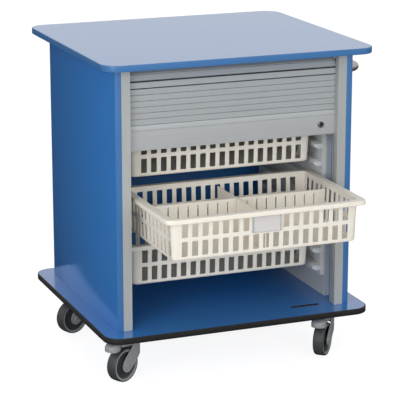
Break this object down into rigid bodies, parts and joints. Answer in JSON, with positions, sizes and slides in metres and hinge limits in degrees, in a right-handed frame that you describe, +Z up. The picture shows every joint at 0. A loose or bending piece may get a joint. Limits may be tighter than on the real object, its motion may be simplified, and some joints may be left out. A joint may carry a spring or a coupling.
{
  "type": "tray storage trolley",
  "caption": "Mobile cabinet of laminate boards on swivel castors with pull-out slotted trays on runner panels, a part-lowered tambour shutter with a lock, and a side push handle.",
  "frame": {"origin": "on the floor under the middle of the unit's outline, pulled-out tray and handle included", "axes": "+Z up, -Y out of the open front, +X to the push handle's side"},
  "size_m": [0.832, 0.901, 0.926],
  "materials": {
    "laminate_blue": "gloss laminate",
    "edging_blue": "satin",
    "bumper_black": "matte",
    "post_aluminium": "anodised",
    "track_grey": "matte",
    "lining_grey": "matte laminate",
    "runner_grey": "matte",
    "slat_grey": "matte",
    "lock_chrome": "polished",
    "tray_cream": "moulded",
    "holder_clear": "translucent",
    "card_white": "paper",
    "handle_steel": "satin",
    "fastener_steel": "zinc",
    "castor_zinc": "zinc plated",
    "castor_nylon": "moulded",
    "wheel_grey": "moulded",
    "tyre_rubber": "matte"
  },
  "bodies": {
    "cabinet": {"worktop": "laminate_blue", "worktop_edge": "edging_blue", "base_board": "laminate_blue", "base_bumper": "bumper_black", "back_panel": "laminate_blue", "stored_slats": "slat_grey", "shutter_curtain": "slat_grey", "push_handle": "handle_steel", "handle_flanges": "handle_steel", "handle_screws": "fastener_steel", "side_panel_left": "laminate_blue", "track_post_left": "post_aluminium", "head_track_left": "track_grey", "lining_left": "lining_grey", "runner_panel_left": "runner_grey", "side_panel_right": "laminate_blue", "track_post_right": "post_aluminium", "head_track_right": "track_grey", "lining_right": "lining_grey", "runner_panel_right": "runner_grey", "castor_plate_front_left": "castor_zinc", "castor_bolts_front_left": "fastener_steel", "castor_plate_front_right": "castor_zinc", "castor_bolts_front_right": "fastener_steel", "castor_plate_back_left": "castor_zinc", "castor_bolts_back_left": "fastener_steel", "castor_plate_back_right": "castor_zinc", "castor_bolts_back_right": "fastener_steel"},
    "shutter": {"shutter_bar": "post_aluminium", "lock_escutcheon": "lock_chrome"},
    "lock": {"lock_cylinder": "lock_chrome"},
    "top_tray": {"tray_top": "tray_cream"},
    "middle_tray": {"tray_middle": "tray_cream", "long_divider": "tray_cream", "cross_divider": "tray_cream", "label_holder": "holder_clear", "label_card": "card_white"},
    "bottom_tray": {"tray_bottom": "tray_cream"},
    "castor_front_left": {"castor_fork_front_left": "castor_nylon", "castor_axle_front_left": "fastener_steel"},
    "wheel_front_left": {"wheel_centre_front_left": "wheel_grey", "tyre_front_left": "tyre_rubber"},
    "pedal_front_left": {"brake_pedal_front_left": "castor_nylon"},
    "castor_front_right": {"castor_fork_front_right": "castor_nylon", "castor_axle_front_right": "fastener_steel"},
    "wheel_front_right": {"wheel_centre_front_right": "wheel_grey", "tyre_front_right": "tyre_rubber"},
    "pedal_front_right": {"brake_pedal_front_right": "castor_nylon"},
    "castor_back_left": {"castor_fork_back_left": "castor_nylon", "castor_axle_back_left": "fastener_steel"},
    "wheel_back_left": {"wheel_centre_back_left": "wheel_grey", "tyre_back_left": "tyre_rubber"},
    "castor_back_right": {"castor_fork_back_right": "castor_nylon", "castor_axle_back_right": "fastener_steel"},
    "wheel_back_right": {"wheel_centre_back_right": "wheel_grey", "tyre_back_right": "tyre_rubber"}
  },
  "joints": [
    {"name": "shutter_slide", "type": "slide", "parent": "cabinet", "child": "shutter", "axis": [0, 0, 1], "range_m": [-0.13, 0.11], "deforming": ["shutter_curtain"]},
    {"name": "lock_turn", "type": "hinge", "parent": "shutter", "child": "lock", "pos_m": [0.264, -0.1925, 0.696], "axis": [0, -1, 0], "range_deg": [0, 90]},
    {"name": "top_tray_slide", "type": "slide", "parent": "cabinet", "child": "top_tray", "axis": [0, -1, 0], "range_m": [0, 0.045]},
    {"name": "middle_tray_slide", "type": "slide", "parent": "cabinet", "child": "middle_tray", "axis": [0, -1, 0], "range_m": [-0.318, 0]},
    {"name": "bottom_tray_slide", "type": "slide", "parent": "cabinet", "child": "bottom_tray", "axis": [0, -1, 0], "range_m": [0, 0.318]},
    {"name": "swivel_front_left", "type": "hinge", "parent": "cabinet", "child": "castor_front_left", "pos_m": [-0.316, -0.1805, 0.122], "axis": [0, 0, 1], "continuous": true},
    {"name": "roll_front_left", "type": "hinge", "parent": "castor_front_left", "child": "wheel_front_left", "pos_m": [-0.35115, -0.19959, 0.05], "axis": [0.4772, -0.8788, 0], "continuous": true},
    {"name": "brake_front_left", "type": "hinge", "parent": "castor_front_left", "child": "pedal_front_left", "pos_m": [-0.31952, -0.18241, 0.106], "axis": [0.4772, -0.8788, 0], "range_deg": [0, 4]},
    {"name": "swivel_front_right", "type": "hinge", "parent": "cabinet", "child": "castor_front_right", "pos_m": [0.3, -0.1805, 0.122], "axis": [0, 0, 1], "continuous": true},
    {"name": "roll_front_right", "type": "hinge", "parent": "castor_front_right", "child": "wheel_front_right", "pos_m": [0.27313, -0.21013, 0.05], "axis": [0.7408, -0.6717, 0], "continuous": true},
    {"name": "brake_front_right", "type": "hinge", "parent": "castor_front_right", "child": "pedal_front_right", "pos_m": [0.29731, -0.18346, 0.106], "axis": [0.7408, -0.6717, 0], "range_deg": [0, 4]},
    {"name": "swivel_back_left", "type": "hinge", "parent": "cabinet", "child": "castor_back_left", "pos_m": [-0.316, 0.2725, 0.122], "axis": [0, 0, 1], "continuous": true},
    {"name": "roll_back_left", "type": "hinge", "parent": "castor_back_left", "child": "wheel_back_left", "pos_m": [-0.35349, 0.25856, 0.05], "axis": [0.3486, -0.9373, 0], "continuous": true},
    {"name": "swivel_back_right", "type": "hinge", "parent": "cabinet", "child": "castor_back_right", "pos_m": [0.3, 0.2725, 0.122], "axis": [0, 0, 1], "continuous": true},
    {"name": "roll_back_right", "type": "hinge", "parent": "castor_back_right", "child": "wheel_back_right", "pos_m": [0.26723, 0.24956, 0.05], "axis": [0.5736, -0.8192, 0], "continuous": true}
  ]
}
